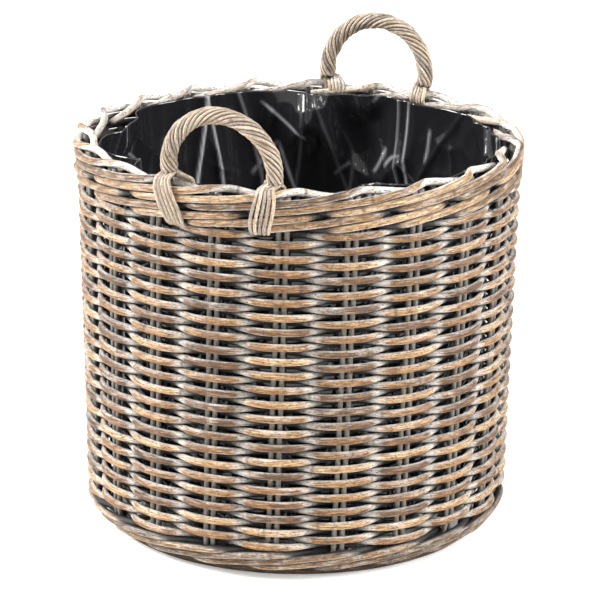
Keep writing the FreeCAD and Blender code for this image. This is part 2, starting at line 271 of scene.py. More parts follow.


# Unpeeled rattan cane, brushed with a thin grey-white wash and rubbed back: brown where it stands proud,
# chalky in the hollows, with dark fibre streaks, specks and scars, a ring at each joint, and painted shade,
# near black, where it runs deep between its neighbours.
def rattan(name, look):
    material, tree, shader = newMaterial(name)
    grain = addNode(tree, "ShaderNodeAttribute", {"attribute_name": "caneGrain"}).outputs["Vector"]
    tone, wear, deep = [addNode(tree, "ShaderNodeAttribute", {"attribute_name": title}).outputs["Fac"]
                        for title in ("caneTone", "caneWear", "canePaintedShade")]

    # patterns per metre along and across the cane, then detail and roughness
    patterns = []
    for stretch, detail, roughness in (
        ((70, 900, 900), 3.0, 0.6),         # fibres 1 mm across, drawn coarse so that they show
        ((55, 210, 210), 4.0, 0.65),        # the wash took unevenly, in blotches 20 mm long
        ((330, 800, 800), 3.0, 0.7),        # specks and scars 1 to 3 mm long
    ):
        space = addNode(tree, "ShaderNodeVectorMath", {"operation": "MULTIPLY", 1: stretch}, {0: grain})
        pattern = addNode(tree, "ShaderNodeTexNoise", {"Scale": 1.0, "Detail": detail, "Roughness": roughness},
                          {"Vector": space.outputs[0]})
        patterns.append(pattern.outputs["Fac"])
    fibres, blotches, flecks = patterns

    lined = addNode(tree, "ShaderNodeMath", {"operation": "MULTIPLY_ADD", 1: 1.9, 2: -0.72}, {0: fibres})
    shifted = addNode(tree, "ShaderNodeMath", {"operation": "MULTIPLY_ADD", 1: 0.5},
                      {0: tone, 2: lined.outputs[0]})
    bark = addNode(tree, "ShaderNodeValToRGB", None, {"Fac": shifted.outputs[0]})
    setRamp(bark, look["bark"])

    # the wash stays where the cane isn't rubbed
    uneven = addNode(tree, "ShaderNodeMath", {"operation": "MULTIPLY_ADD", 1: 1.5, 2: -0.75}, {0: blotches})
    rubbed = addNode(tree, "ShaderNodeMath", {"operation": "MULTIPLY_ADD", 1: -0.9},
                     {0: wear, 2: uneven.outputs[0]})
    streaked = addNode(tree, "ShaderNodeMath", {"operation": "MULTIPLY_ADD", 1: 0.6},
                       {0: fibres, 2: rubbed.outputs[0]})
    limits = {"From Min": look["washFrom"], "From Max": look["washTo"],
              "To Min": look["washLeast"], "To Max": look["washMost"]}
    wash = addNode(tree, "ShaderNodeMapRange", limits, {"Value": streaked.outputs[0]}).outputs["Result"]
    washed = addNode(tree, "ShaderNodeMix", {"data_type": "RGBA", 7: linear(look["wash"])},
                     {0: wash, 6: bark.outputs["Color"]})
    limits = {"From Min": 0.53, "From Max": 0.62, "To Max": look["specks"]}
    specks = addNode(tree, "ShaderNodeMapRange", limits, {"Value": flecks}).outputs["Result"]
    specked = addNode(tree, "ShaderNodeMix", {"data_type": "RGBA", 7: linear(look["stain"])},
                      {0: specks, 6: washed.outputs[2]})

    # a soft dark ring at each joint of the cane
    along = addNode(tree, "ShaderNodeSeparateXYZ", None, {0: grain})
    spaced = addNode(tree, "ShaderNodeMath", {"operation": "DIVIDE", 1: caneLook["jointSpacing"]},
                     {0: along.outputs["X"]})
    turned = addNode(tree, "ShaderNodeMath", {"operation": "FRACT"}, {0: spaced.outputs[0]})
    centred = addNode(tree, "ShaderNodeMath", {"operation": "SUBTRACT", 1: 0.5}, {0: turned.outputs[0]})
    away = addNode(tree, "ShaderNodeMath", {"operation": "ABSOLUTE"}, {0: centred.outputs[0]})
    limits = {"From Min": 0.002, "From Max": 0.010, "To Min": 0.5, "To Max": 0.0}
    ring = addNode(tree, "ShaderNodeMapRange", limits, {"Value": away.outputs[0]})
    ringed = addNode(tree, "ShaderNodeMix", {"data_type": "RGBA", 7: linear(look["stain"])},
                     {0: ring.outputs["Result"], 6: specked.outputs[2]})
    # painted shade: the colour is pulled towards near black by canePaintedShade where the cane runs deep
    # between its neighbours
    depth = addNode(tree, "ShaderNodeMapRange", {"To Max": look["paintedShadeMost"]}, {"Value": deep})
    shaded = addNode(tree, "ShaderNodeMix", {"data_type": "RGBA", 7: linear(look["deep"])},
                     {0: depth.outputs["Result"], 6: ringed.outputs[2]})
    tree.links.new(shaded.outputs[2], shader.inputs["Base Color"])

    # the rubbed skin shines a little, the chalky wash doesn't
    rough = addNode(tree, "ShaderNodeMapRange", {"To Min": look["roughness"], "To Max": 0.8}, {"Value": wash})
    tree.links.new(rough.outputs["Result"], shader.inputs["Roughness"])
    shader.inputs["IOR"].default_value = 1.5
    height = addNode(tree, "ShaderNodeMath", {"operation": "MULTIPLY_ADD", 1: -0.6}, {0: specks, 2: fibres})
    bump = addNode(tree, "ShaderNodeBump", {"Strength": 0.6, "Distance": 0.0006}, {"Height": height.outputs[0]})
    tree.links.new(bump.outputs["Normal"], shader.inputs["Normal"])
    return material


# in each look, deep is the near-black colour of the painted shade between the canes, and paintedShadeMost how
# far it goes
washedRattan = rattan("washedRattan", {
    "bark": [(0.0, "#311e10"), (0.3, "#624224"), (0.55, "#946a3e"), (0.8, "#bb976a"), (1.0, "#d9bf94")],
    "wash": "#f4f0e9", "washFrom": -0.5, "washTo": 0.55, "washLeast": 0.0, "washMost": 0.97,
    "stain": "#22150c", "specks": 0.88, "roughness": 0.36, "deep": "#070604", "paintedShadeMost": 0.98,
})
borderRattan = rattan("borderRattan", {
    "bark": [(0.0, "#352212"), (0.3, "#684a2c"), (0.55, "#967249"), (0.8, "#ba996f"), (1.0, "#d6bf9a")],
    "wash": "#f3efe8", "washFrom": -0.5, "washTo": 0.45, "washLeast": 0.0, "washMost": 0.95,
    "stain": "#22150c", "specks": 0.85, "roughness": 0.36, "deep": "#080604", "paintedShadeMost": 0.98,
})
splitRattan = rattan("splitRattan", {
    "bark": [(0.0, "#463020"), (0.3, "#7c5e40"), (0.55, "#a6855f"), (0.8, "#c6aa84"), (1.0, "#dcc9aa")],
    "wash": "#efeae1", "washFrom": -0.4, "washTo": 0.6, "washLeast": 0.0, "washMost": 0.85,
    "stain": "#2a1c12", "specks": 0.8, "roughness": 0.42, "deep": "#100b07", "paintedShadeMost": 0.96,
})
stakeRattan = rattan("stakeRattan", {
    "bark": [(0.0, "#4b3e31"), (0.4, "#7f705d"), (0.7, "#a99b87"), (1.0, "#c8bcaa")],
    "wash": "#dcd7cd", "washFrom": -0.5, "washTo": 0.3, "washLeast": 0.15, "washMost": 0.85,
    "stain": "#231a12", "specks": 0.5, "roughness": 0.6, "deep": "#0b0907", "paintedShadeMost": 0.97,
})
poleRattan = rattan("poleRattan", {
    "bark": [(0.0, "#2f2013"), (0.4, "#58402a"), (0.7, "#7d6143"), (1.0, "#a38963")],
    "wash": "#b5ab9b", "washFrom": -0.2, "washTo": 0.5, "washLeast": 0.0, "washMost": 0.6,
    "stain": "#21160d", "specks": 0.6, "roughness": 0.55, "deep": "#0b0907", "paintedShadeMost": 0.9,
})


# Polythene film, blown and pigmented black: a smooth skin that mirrors softly, broken by small crinkles.
def polythene():
    material, tree, shader = newMaterial("blackPolythene")
    shader.inputs["IOR"].default_value = 1.51
    # a sharp fold leaves a pale grey line along it: partly the film whitened where it bent, partly a painted
    # highlight for the glint along the fold
    crease = addNode(tree, "ShaderNodeAttribute", {"attribute_name": "filmCreaseAndGlint"}).outputs["Fac"]
    paled = addNode(tree, "ShaderNodeMix", {"data_type": "RGBA", 6: linear("#1c1c1e"), 7: linear("#c9c9cc")},
                    {0: crease})
    tree.links.new(paled.outputs[2], shader.inputs["Base Color"])
    place = addNode(tree, "ShaderNodeTexCoord").outputs["Object"]
    # smears 20 mm across, and crinkles 6 mm across that are drawn coarse so that they show
    smears = addNode(tree, "ShaderNodeTexNoise", {"Scale": 50.0, "Detail": 3.0, "Distortion": 0.6},
                     {"Vector": place})
    crinkles = addNode(tree, "ShaderNodeTexNoise", {"Scale": 170.0, "Detail": 2.0}, {"Vector": place})
    limits = {"From Min": 0.3, "From Max": 0.75, "To Min": 0.07, "To Max": 0.17}
    dulled = addNode(tree, "ShaderNodeMapRange", limits, {"Value": smears.outputs["Fac"]})
    tree.links.new(dulled.outputs["Result"], shader.inputs["Roughness"])
    height = addNode(tree, "ShaderNodeMath", {"operation": "MULTIPLY_ADD", 1: 0.15},
                     {0: crinkles.outputs["Fac"], 2: smears.outputs["Fac"]})
    bump = addNode(tree, "ShaderNodeBump", {"Strength": 0.2, "Distance": 0.002}, {"Height": height.outputs[0]})
    tree.links.new(bump.outputs["Normal"], shader.inputs["Normal"])
    return material


blackPolythene = polythene()
print("materials made")


camera = {
    "azimuthDegrees": 21.5,      # from -Y towards +X
    "elevationDegrees": 17.47,
    "rollDegrees": 0.59,
    "distance": 4.119,
    "lens": 223.9,               # on a 36 mm sensor
    "aimZ": 0.2440,              # it looks at this height, and this far right of the axis
    "aimRight": 0.0031,
}


def makeCamera():
    a, e = math.radians(camera["azimuthDegrees"]), math.radians(camera["elevationDegrees"])
    back = Vector((math.sin(a) * math.cos(e), -math.cos(a) * math.cos(e), math.sin(e)))
    right = Vector((math.cos(a), math.sin(a), 0))
    aim = Vector((0, 0, camera["aimZ"])) + right * camera["aimRight"]
    lens = bpy.data.cameras.new("studioCamera")
    lens.lens = camera["lens"]
    eye = bpy.data.objects.new("studioCamera", lens)
    bpy.context.scene.collection.objects.link(eye)
    eye.location = aim + back * camera["distance"]
    look = (-back).to_track_quat("-Z", "Y")
    eye.rotation_mode = "QUATERNION"
    look.rotate(Quaternion(back, math.radians(camera["rollDegrees"])))
    eye.rotation_quaternion = look
    bpy.context.scene.camera = eye


studio = {
    # place, size and power in watts: a soft box at each side, a weaker one overhead, and three small
    # lamps that glint in the folds of the liner
    "lamps": {
        "keyLamp": ((-3.0, -1.4, 2.3), 1.3, 240),
        "fillLamp": ((3.4, 0.2, 2.1), 1.5, 165),
        "backLamp": ((0.6, -1.2, 4.2), 1.8, 55),
        "stripLamp1": ((-0.8, -3.6, 2.0), 0.55, 13),
        "stripLamp2": ((3.0, -2.6, 2.1), 0.55, 13),
        "stripLamp3": ((1.2, -3.2, 3.2), 0.55, 13),
    },
    "lampAim": (0, 0, 0.25),
    "ambient": 0.36,
    "floorColour": "#f6f5f3",
    "floorWhitening": 0.3,       # seen by the camera only
    "floorReach": 8,
}


def makeLamp(name, place, size, power):
    lamp = bpy.data.lights.new(name, "AREA")
    lamp.shape = "DISK"
    lamp.size = size
    lamp.energy = power
    holder = bpy.data.objects.new(name, lamp)
    bpy.context.scene.collection.objects.link(holder)
    holder.location = place
    holder.rotation_mode = "QUATERNION"
    holder.rotation_quaternion = (Vector(studio["lampAim"]) - Vector(place)).to_track_quat("-Z", "Y")


def makeStudio():
    for name, (place, size, power) in studio["lamps"].items():
        makeLamp(name, place, size, power)
    world = bpy.data.worlds.new("studioWorld")
    bpy.context.scene.world = world
    world.use_nodes = True
    tree = world.node_tree
    tree.nodes.clear()
    rays = addNode(tree, "ShaderNodeLightPath")
    seen = addNode(tree, "ShaderNodeMath", {"operation": "MAXIMUM"},
                   {0: rays.outputs["Is Camera Ray"], 1: rays.outputs["Is Glossy Ray"]})
    seen = addNode(tree, "ShaderNodeMath", {"operation": "MAXIMUM"},
                   {0: seen.outputs[0], 1: rays.outputs["Is Transmission Ray"]})
    strength = addNode(tree, "ShaderNodeMapRange", {"To Min": studio["ambient"], "To Max": 1.0},
                       {"Value": seen.outputs[0]})
    sky = addNode(tree, "ShaderNodeBackground", {"Color": (1, 1, 1, 1)},
                  {"Strength": strength.outputs["Result"]})
    addNode(tree, "ShaderNodeOutputWorld", None, {"Surface": sky.outputs[0]})
    bpy.context.scene.view_settings.view_transform = "Standard"


def makeFloor():
    material, tree, shader = newMaterial("paperFloor")
    shader.inputs["Base Color"].default_value = linear(studio["floorColour"])
    shader.inputs["Roughness"].default_value = 0.9
    shader.inputs["Emission Color"].default_value = (1, 1, 1, 1)
    rays = addNode(tree, "ShaderNodeLightPath")
    whiten = addNode(tree, "ShaderNodeMath", {"operation": "MULTIPLY", 1: studio["floorWhitening"]},
                     {0: rays.outputs["Is Camera Ray"]})
    tree.links.new(whiten.outputs[0], shader.inputs["Emission Strength"])
    mesh = bpy.data.meshes.new("paperFloor")
    side = studio["floorReach"]
    corners = [(-side, -side, 0), (side, -side, 0), (side, side, 0), (-side, side, 0)]
    mesh.from_pydata(corners, [], [(0, 1, 2, 3)])
    mesh.materials.append(material)
    floor = bpy.data.objects.new("paperFloor", mesh)
    bpy.context.scene.collection.objects.link(floor)


makeCamera()
makeStudio()
makeFloor()
print("camera, studio and floor made")


hoop = {
    "reach": 207.0 * mm,         # the ring stands in under the border
    "width": 17.5 * mm,
    "gap": 0.3 * mm,
    "wobble": 0.5 * mm,          # its canes aren't quite straight
    "waves": 5,                  # they bend this often on the way round
    "swellRoom": 1.04,           # height left free for a cane's slow change in thickness
    "rubbed": 0.5,
    "sides": 12,
    "steps": 240,
}


# the ring that the basket stands on: two thick canes side by side, flattened where they rest
def makeFootHoop():
    low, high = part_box("foot_hoop")
    radius = (hoop["width"] - hoop["gap"]) / 4 - hoop["wobble"] / 2
    half = (high.z - low.z) / 2
    flat = half / radius / hoop["swellRoom"]
    angle = np.arange(hoop["steps"]) * 2 * math.pi / hoop["steps"]
    rng = np.random.default_rng(3)
    canes = Canes()
    for lane in (0, 1):
        bow = wander(rng, angle, 2 * math.pi / hoop["waves"], hoop["wobble"] / 2)
        place = hoop["reach"] - radius - lane * (2 * radius + hoop["gap"]) + bow
        canes.add(rng, onRing(place, angle, low.z + half), radius, outwardAt(angle), hoop["rubbed"],
                  sides=hoop["sides"], closed=True, flat=flat, knot=0)
    canes.build("footHoop", poleRattan, ["foot_hoop"], "thick_rattan")


weave = {
    "rounds": 22,
    "crestRadius": 4.0 * mm,     # a weaver is thickest over a stake pair
    "crossRadius": 3.45 * mm,    # and squeezed where rows cross
    "rowInset": 3.9 * mm,        # a round's two rows run this far from its top and bottom
    "swing": 7.6 * mm,
    "swingChange": 0.05,
    "flatCrest": 0.08,           # a weaver lies straighter over a stake pair than a plain wave
    "wobble": 0.45 * mm,
    "rubbedFrom": 0.52,          # shares of the swing: from here outwards the wash is rubbed off
    "rubbedOver": 0.24,
    "rubbedChange": 0.3,
    "rubbedWave": 0.5,           # radians round the basket
    "stepsPerPair": 12,
}


def makeWeave():
    n = basket["pairs"] * weave["stepsPerPair"]
    angle = np.arange(n) * 2 * math.pi / n
    phase = angle * basket["pairs"] / 2
    for number in range(1, weave["rounds"] + 1):
        node = f"weave_round_{number:02d}"
        low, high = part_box(node)
        rng = np.random.default_rng(100 + number)
        canes = Canes()
        for over, z in ((-1, low.z + weave["rowInset"]), (1, high.z - weave["rowInset"])):
            wave = (np.cos(phase) - weave["flatCrest"] * np.cos(3 * phase)) * over
            heights = z + wander(rng, angle, 2 * math.pi / 3, weave["wobble"])
            swing = weave["swing"] * (1 + wander(rng, angle, 2 * math.pi / 5, weave["swingChange"]))
            turned = angle + lean(z)
            path = onWall(swing * wave, turned, heights)
            radius = weave["crossRadius"] + (weave["crestRadius"] - weave["crossRadius"]) * np.abs(wave)
            crest = (wave + 1) / 2
            rubbed = np.clip((crest - weave["rubbedFrom"]) / weave["rubbedOver"], 0, 1)
            worn = rubbed * (1.0 + wander(rng, angle, weave["rubbedWave"], weave["rubbedChange"]))
            canes.add(rng, path, radius, outwardAt(turned), worn, closed=True, deep=paintedShadeInWall)
        canes.build(f"weaveRound{number:02d}", washedRattan, [node], "rattan")


stakeLook = {
    "radius": 3.0 * mm,
    "spacing": 8.5 * mm,         # between the two of a pair
    "footGap": 0.2 * mm,
    "wobble": 0.35 * mm,
    "wobbleWave": 0.16,
    "rubbed": 0.15,
    "leastPaintedShade": 0.62,           # how much painted shade they have where they show
    "paintedShadeRise": 1.6,
    "paintedShadeFrom": 0.75,
    "sides": 8,
    "steps": 70,
}


# the stakes stay fairly pale where they show between the canes, under light painted shade, and get full painted
# shade at their backs
def paintedShadeOnStakes(verts):
    least = stakeLook["leastPaintedShade"]
    back = np.clip(paintedShadeInWall(verts) * stakeLook["paintedShadeRise"] - stakeLook["paintedShadeFrom"], 0, 1)
    return least + (1 - least) * back


def makeStakes():
    low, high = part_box("stakes")
    rng = np.random.default_rng(5)
    canes = Canes()
    z = np.linspace(low.z + stakeLook["footGap"], high.z, stakeLook["steps"])
    for pair in range(basket["pairs"]):
        for side in (-1, 1):
            wobble = wander(rng, z, stakeLook["wobbleWave"], stakeLook["wobble"])
            gap = side * stakeLook["spacing"] / 2 + wobble
            angle = pair * pitch + lean(z) + gap / stakeCircle(z)
            canes.add(rng, onWall(0, angle, z), stakeLook["radius"], outwardAt(angle), stakeLook["rubbed"],
                      sides=stakeLook["sides"], deep=paintedShadeOnStakes)
    canes.build("stakePairs", stakeRattan, ["stakes"], "rattan")


footBorder = {
    "radius": 4.05 * mm,
    # pitches past the space where a cane comes out, millimetres out from the stakes, share of the climb
    "stations": [(-0.45, -9.0, 0.0), (-0.15, -3.5, 0.0), (0.15, 4.0, 0.0), (0.45, 9.0, 0.03), (1.0, 9.8, 0.27),
                 (1.6, 9.9, 0.55), (2.2, 9.7, 0.83), (2.6, 8.2, 0.97), (2.9, 3.0, 1.0), (3.2, -4.0, 1.0),
                 (3.45, -8.8, 1.0)],
    "unevenness": 0.3 * mm,
    "openFrom": 12.0 * mm,       # painted shade in its grooves starts this far out from the stakes' circle
    "darkFrom": 8.8 * mm,
    "rubbed": (0.1, 0.2, 16 * mm),      # least, then at the stakes' circle, and 1 more this far out
    "step": 4 * mm,
}


# painted shade in the grooves of the foot border
def paintedShadeInFoot(verts):
    return paintedShadeAmount(verts, footBorder)


def makeFootBorder():
    lowest, highest = footLow + footBorder["radius"], footHigh - footBorder["radius"]
    least, inner, over = footBorder["rubbed"]
    rng = np.random.default_rng(11)
    canes = Canes()
    for index in range(basket["pairs"]):
        points = []
        for along, out, share in footBorder["stations"]:
            z = lowest + (highest - lowest) * share
            shift = rng.normal(0, footBorder["unevenness"])
            points.append(onWall(out * mm + shift, (index + along + 0.5) * pitch + lean(z), z + shift))
        path = smoothPath(points, footBorder["step"])
        outward = outwardAt(np.arctan2(path[:, 0], -path[:, 1]))
        worn = np.clip(inner + reachOf(path) / over, least, 1)
        canes.add(rng, path, footBorder["radius"], outward, worn, deep=paintedShadeInFoot)
    canes.build("footBorder", borderRattan, ["foot_border"], "rattan")


# Two canes leave the wall beside each stake pair. The lower goes back in after two pairs, and the upper
# rolls over the rim. Stations are pitches past the space where a cane comes out, millimetres out from
# the stakes, and millimetres above the rim's top.
rimBorder = {
    "radius": 4.05 * mm,
    "lower": [(-0.5, -8.2, -41.6), (-0.25, -7.4, -41.6), (0.0, 0.5, -41.6), (0.25, 7.6, -41.0),
              (0.6, 8.7, -38.4), (1.0, 9.0, -35.0), (1.4, 8.8, -31.6), (1.75, 7.8, -28.9),
              (2.0, 0.5, -28.0), (2.25, -7.6, -27.4)],
    "upper": [(-0.5, -8.2, -24.2), (-0.25, -7.4, -24.2), (0.0, 0.5, -24.2), (0.25, 7.6, -23.6),
              (0.6, 8.7, -21.0), (1.0, 9.0, -17.6), (1.4, 8.9, -14.2), (1.75, 8.8, -11.2),
              (2.05, 8.9, -8.0), (2.28, 8.0, -5.0), (2.42, 4.0, -3.9), (2.54, -1.0, -3.7),
              (2.68, -6.5, -4.4), (2.86, -9.6, -6.6), (3.1, -9.9, -9.4), (3.5, -8.6, -13.8)],
    "unevenness": 0.45,          # millimetres
    "openFrom": 10.8 * mm,       # painted shade in the grooves starts this far out from the stakes' circle
    "darkFrom": 7.6 * mm,
    "rollBelow": 12 * mm,        # the roll starts this far below the rim's top, over this height
    "rollOver": 10 * mm,
    "sideOver": 6 * mm,          # across the rim a cane turns from facing in to facing out over this
    "topOver": 9 * mm,           # and up over this
    "darkBelow": 9 * mm,         # grooves get painted shade from this far below the top, over this height
    "darkOver": 5 * mm,
    "lift": 0.35,                # how far it faces up everywhere,
    "rollLift": 2,               # and how much more on the roll
    "rubbed": (0.4, 0.6, 30 * mm),      # least, then at the stakes' circle, and 1 more this far out
    "step": 3.2 * mm,
}


# a rim cane gets painted shade in the grooves beside its neighbours and behind them, below the roll
def paintedShadeInBorder(verts):
    below = (rimTop - rimBorder["darkBelow"] - verts[:, 2]) / rimBorder["darkOver"]
    return paintedShadeAmount(verts, rimBorder) * np.clip(below, 0, 1)


# where a rim cane faces: away from the wall on both sides, and upwards on the roll
def rimOutward(path, reach):
    angle = np.arctan2(path[:, 0], -path[:, 1])
    side = np.clip(reach / rimBorder["sideOver"], -1, 1)
    roll = np.clip((path[:, 2] - rimTop + rimBorder["rollBelow"]) / rimBorder["rollOver"], 0, 1)
    over = np.clip(1 - np.abs(reach) / rimBorder["topOver"], 0, 1)
    lift = rimBorder["lift"] + over * roll * rimBorder["rollLift"]
    return unit(np.stack([np.sin(angle) * side, -np.cos(angle) * side, lift], axis=-1))


def makeRimBorder():
    least, inner, over = rimBorder["rubbed"]
    rng = np.random.default_rng(13)
    canes = Canes()
    for index in range(basket["pairs"]):
        for tier in ("lower", "upper"):
            points = []
            for along, out, height in rimBorder[tier]:
                shift = rng.normal(0, rimBorder["unevenness"])
                angle = (index + along + 0.5) * pitch
                points.append(onWall((out + shift) * mm, angle, rimTop + (height + shift) * mm))
            path = smoothPath(points, rimBorder["step"])
            reach = reachOf(path)
            worn = np.clip(inner + reach / over, least, 1)
            canes.add(rng, path, rimBorder["radius"], rimOutward(path, reach), worn, deep=paintedShadeInBorder)
    canes.build("rimBorder", borderRattan, ["rim_border"], "rattan")


baseLook = {
    "arm": 5,                    # sticks in each arm of the cross
    "stickRadius": 3.9 * mm,
    "stickInset": 4 * mm,        # from the arm's outer face to the middle of its sticks
    "lane": 9 * mm,              # sticks lie this far apart where the arms cross
    # their spread in lanes and their place along the arm there, and the circles that they fan out over
    "crossing": [(1.15, -62 * mm), (1.0, -30 * mm), (1.0, 30 * mm), (1.15, 62 * mm)],
    "fan": [160 * mm, 105 * mm],
    "stickStep": 5 * mm,
    "rows": 9,                   # of one cane each, woven round the fanned sticks
    "rowRadius": 3.9 * mm,
    "firstRow": 112 * mm,
    "rowPitch": 10.6 * mm,
    "rowSwing": 8.0 * mm,
    "stepsPerPair": 10,
    "bindingRadius": 3.8 * mm,
    "bindingInset": 4.4 * mm,
    "bindingReaches": [38 * mm, 46.1 * mm],     # two turns, over one arm and under the next
    "bindingRun": [-22 * mm, -10 * mm, 10 * mm, 22 * mm],
    "bindingStep": 4 * mm,
    "stickRubbed": 0.6,
    "rubbed": 0.5,
}


# the base, rubbed on its underside
def makeBase():
    lower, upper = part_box("base_sticks_lower"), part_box("base_sticks_upper")
    lowerZ, upperZ = lower[0].z + baseLook["stickInset"], upper[1].z - baseLook["stickInset"]
    middle = (lowerZ + upperZ) / 2
    fan = [upper[1].x] + baseLook["fan"]
    turned = float(lean(0))
    rng = np.random.default_rng(17)
    down = np.array([0, 0, -1.0])
    for piece, node, level, spin in (("baseSticksLower", "base_sticks_lower", lowerZ, 0.0),
                                     ("baseSticksUpper", "base_sticks_upper", upperZ, math.pi / 2)):
        canes = Canes()
        for index in range(baseLook["arm"]):
            place = index - baseLook["arm"] // 2
            near, far = place * pitch + turned, math.pi - place * pitch + turned
            points = [onRing(radius, near, middle) for radius in fan]
            points += [(place * baseLook["lane"] * widen, y, level) for widen, y in baseLook["crossing"]]
            points += [onRing(radius, far, middle) for radius in reversed(fan)]
            spun = [(x * math.cos(spin) - y * math.sin(spin), x * math.sin(spin) + y * math.cos(spin), z)
                    for x, y, z in points]
            canes.add(rng, smoothPath(spun, baseLook["stickStep"]), baseLook["stickRadius"], down,
                      baseLook["stickRubbed"])
        canes.build(piece, poleRattan, [node], "thick_rattan")

    canes = Canes()
    n = basket["pairs"] * baseLook["stepsPerPair"]
    angle = np.arange(n) * 2 * math.pi / n
    for index in range(baseLook["rows"]):
        radius = baseLook["firstRow"] + index * baseLook["rowPitch"]
        wave = np.cos(angle * basket["pairs"] / 2) * (1 if index % 2 else -1)
        path = onRing(radius, angle + turned, middle + baseLook["rowSwing"] * wave)
        canes.add(rng, path, baseLook["rowRadius"], down, baseLook["rubbed"], closed=True)
    canes.build("baseWeave", washedRattan, ["base_weave"], "rattan")

    canes = Canes()
    low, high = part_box("base_binding")
    for reach in baseLook["bindingReaches"]:
        points = []
        for quarter in range(4):
            c, s = math.cos(quarter * math.pi / 2), math.sin(quarter * math.pi / 2)
            z = high.z - baseLook["bindingInset"] if quarter % 2 else low.z + baseLook["bindingInset"]
            points += [(x * c + reach * s, x * s - reach * c, z) for x in baseLook["bindingRun"]]
        points += points[:2]
        canes.add(rng, smoothPath(points, baseLook["bindingStep"]), baseLook["bindingRadius"], down,
                  baseLook["rubbed"])
    canes.build("baseBinding", washedRattan, ["base_binding"], "rattan")


# a rope handle of split canes twisted round a rod; lengths are in millimetres
grip = {
    "radius": 59.3,
    "rise": 15.4,                # the bow's middle stands this far above the rim
    "wrapDegrees": 8.0,          # the bow is this much more than a half circle at each foot
    "tiltDegrees": 6.7,          # and leans out
    "shift": 4.4,                # and this far to one side of its feet
    "foot": 0.76,                # pitches from the middle of the handle
    "strands": 10,
    "strandRadius": 2.25,
    "slack": 0.9,                # strands are thinner than the space they have
    "uneven": 0.07,              # shares: of a strand's thickness,
    "loose": 0.04,               # and of its distance from the rope's middle
    "turns": 2.5,
    "rubbed": 0.45,
    "jointSwell": 0.03,
    "strandSides": 8,
    "ropePoints": 48,
    "strandStep": 2.6,
    "proud": 0.7,                # a strand gets painted shade from this far in from the rope's outside
    "groove": 1.5,               # to this much further in
    "leaves": 2.0,               # but not once it has left the rope by this much, reached
    "leavesOver": 3.0,           # over this much
    "laneStep": 4.5,             # strands lie side by side on the border, this far apart
    # a strand's end over the border and under it, or inside: millimetres out and below the rim's top,
    # and how much of its lane and of its bundle's slant it has there
    "outerTail": [(10.5, -2.0, 0.8, 0.0), (14.8, 6.0, 1.0, 0.1), (15.6, 17, 1.12, 0.35), (15.6, 29, 1.15, 0.7),
                  (14.2, 39, 1.05, 0.95), (10.5, 45, 0.95, 1.0), (4.5, 47, 0.9, 1.0)],
    "innerTail": [(-1.5, -7.0, 0.7, 0.5), (-6.0, -2.5, 0.9, 0.8), (-11.0, 1.5, 1.0, 1.0),
                  (-12.6, 8.0, 0.95, 1.1), (-9.5, 13.0, 0.9, 1.15)],
    "outerSlant": (15, 6),       # at the foot that the front handle has on its left, and at the other
    "innerSlant": (13, 8),
    "rodRadius": 5.0,
    "rodFootRadius": 3.0,        # the rod thins before it goes down into the border
    "rodFootFrom": 0.85,         # share of half its length
    "rodDepths": (5, 30),        # points of the rod below the rim's top
    "rodRubbed": 0.4,
    "rodPoints": 60,
    "rodStep": 4,
}


# a point along the grip from its left foot to its right, by its share of the way, and its distance from
# the rope's middle and angle round it
def gripPoint(share, offset, phase, side):
    wrap, tilt = math.radians(grip["wrapDegrees"]), math.radians(grip["tiltDegrees"])
    mouth = float(stakeCircle(rimTop)) / mm
    out = math.sqrt(mouth ** 2 - (grip["radius"] * math.cos(wrap)) ** 2)
    bend = math.pi + wrap - (math.pi + 2 * wrap) * share
    radius = grip["radius"] + offset * math.cos(phase)
    across = radius * math.cos(bend) + side * grip["shift"]
    up = grip["rise"] + radius * math.sin(bend)
    away = offset * math.sin(phase)
    y = -out - up * math.sin(tilt) - away * math.cos(tilt)
    z = up * math.cos(tilt) - away * math.sin(tilt)
    return np.array([across * mm, y * mm, rimTop + z * mm])


# a point near one foot of the grip: foot -1 or 1, millimetres out, below the rim's top and across
def tailPoint(foot, out, below, across):
    angle = foot * grip["foot"] * pitch + across * mm / float(stakeCircle(rimTop))
    return onWall(out * mm, angle, rimTop - below * mm)


# a strand's end from the grip onwards: laid over the border and tucked under it, or tucked inside
def strandTail(foot, outer, lane, side):
    spread = lane * grip["laneStep"]
    first = foot * side < 0
    if outer:
        stations, slant = grip["outerTail"], -foot * grip["outerSlant"][0 if first else 1]
    else:
        stations, slant = grip["innerTail"], side * grip["innerSlant"][0 if first else 1]
    return [tailPoint(foot, out, below, spread * ofLane + slant * ofSlant)
            for out, below, ofLane, ofSlant in stations]


